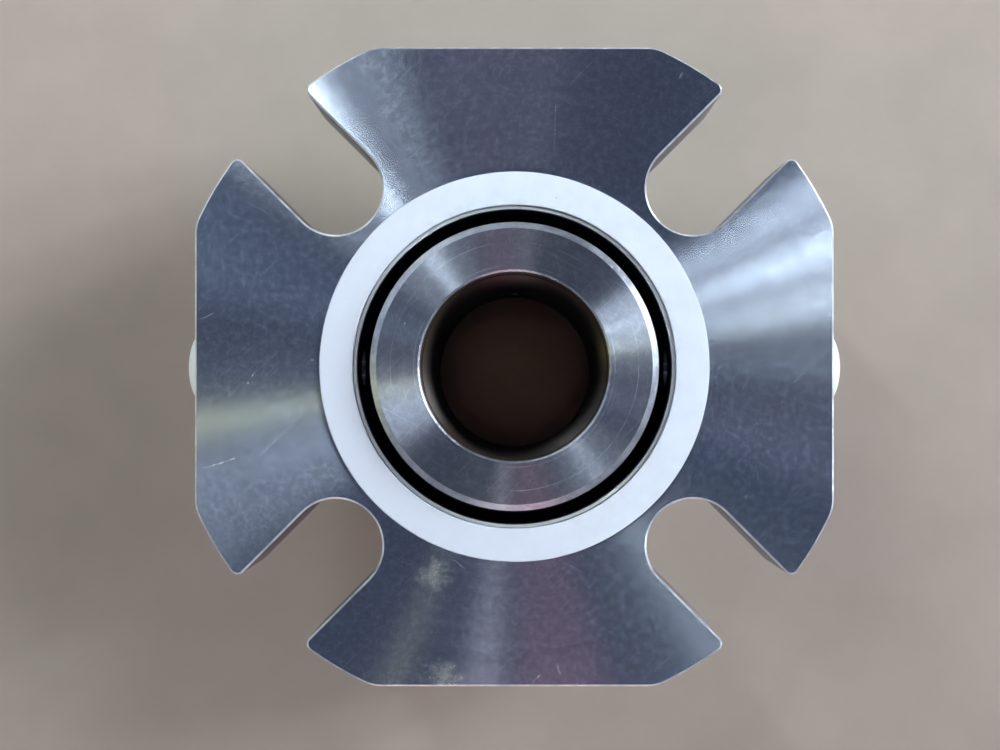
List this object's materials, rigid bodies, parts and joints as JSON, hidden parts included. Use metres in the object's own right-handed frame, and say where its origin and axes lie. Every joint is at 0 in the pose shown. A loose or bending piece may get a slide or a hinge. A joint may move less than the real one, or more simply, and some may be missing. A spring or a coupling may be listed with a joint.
{
  "type": "cartridge mechanical seal",
  "caption": "Cartridge mechanical seal: slotted square-cornered gland plate with a face gasket and flush ports, on a shaft sleeve that turns inside it, with a drive collar and setting clips.",
  "frame": {"origin": "on the shaft axis, in the plane of the gland plate's inboard face", "axes": "+Z along the shaft axis towards the pump's seal chamber, +X through the two flush ports, bolt slots on the diagonals"},
  "size_m": [0.102, 0.096, 0.052],
  "materials": {
    "bush_plastic": "turned filled plastic",
    "clip_steel": "machined stainless steel",
    "collar_steel": "turned stainless steel",
    "gasket": "white gasket sheet with a matt, slightly smudged face",
    "gland_steel": "turned stainless steel with fine marks, scuffs and bright broken edges",
    "pin_steel": "ground stainless steel",
    "plug_plastic": "white moulded plastic",
    "ring_rubber": "moulded rubber",
    "screw_steel": "plain stainless steel",
    "seal_carbide": "lapped silicon carbide",
    "seal_carbon": "lapped carbon graphite",
    "sleeve_steel": "fine-turned stainless steel with circular marks",
    "spring_steel": "smooth spring steel"
  },
  "bodies": {
    "gland": {"gland": "gland_steel", "gland_gasket": "gasket", "port_plug_right": "plug_plastic", "port_plug_left": "plug_plastic", "throttle_bush": "bush_plastic", "stationary_o_ring": "ring_rubber", "wave_spring": "spring_steel", "stop_pin_1": "pin_steel", "stop_pin_2": "pin_steel", "clip_screw_1": "screw_steel", "clip_screw_2": "screw_steel", "clip_screw_3": "screw_steel"},
    "rotor": {"sleeve": "sleeve_steel", "sleeve_o_ring": "ring_rubber", "rotary_face": "seal_carbide", "rotary_o_ring": "ring_rubber", "drive_pin_1": "pin_steel", "drive_pin_2": "pin_steel", "drive_collar": "collar_steel", "set_screw_1": "screw_steel", "set_screw_2": "screw_steel", "set_screw_3": "screw_steel"},
    "floating_face": {"stationary_face": "seal_carbon", "spring_plate": "spring_steel"},
    "clip_1": {"setting_clip_1": "clip_steel"},
    "clip_2": {"setting_clip_2": "clip_steel"},
    "clip_3": {"setting_clip_3": "clip_steel"}
  },
  "joints": [
    {"name": "rotor_spin", "type": "hinge", "parent": "gland", "child": "rotor", "pos_m": [0, 0, 0], "axis": [0, 0, 1], "continuous": true},
    {"name": "face_float", "type": "slide", "parent": "gland", "child": "floating_face", "axis": [0, 0, 1], "range_m": [-0.0015, 0], "stiffness_N_per_m": 10000, "springref_m": 0.0035, "deforming": ["wave_spring"]},
    {"name": "clip_1_swing", "type": "hinge", "parent": "gland", "child": "clip_1", "pos_m": [0.02278, 0.01315, -0.0339], "axis": [0, 0, 1], "range_deg": [0, 180]},
    {"name": "clip_2_swing", "type": "hinge", "parent": "gland", "child": "clip_2", "pos_m": [-0.02278, 0.01315, -0.0339], "axis": [0, 0, 1], "range_deg": [0, 180]},
    {"name": "clip_3_swing", "type": "hinge", "parent": "gland", "child": "clip_3", "pos_m": [0, -0.0263, -0.0339], "axis": [0, 0, 1], "range_deg": [0, 180]}
  ]
}
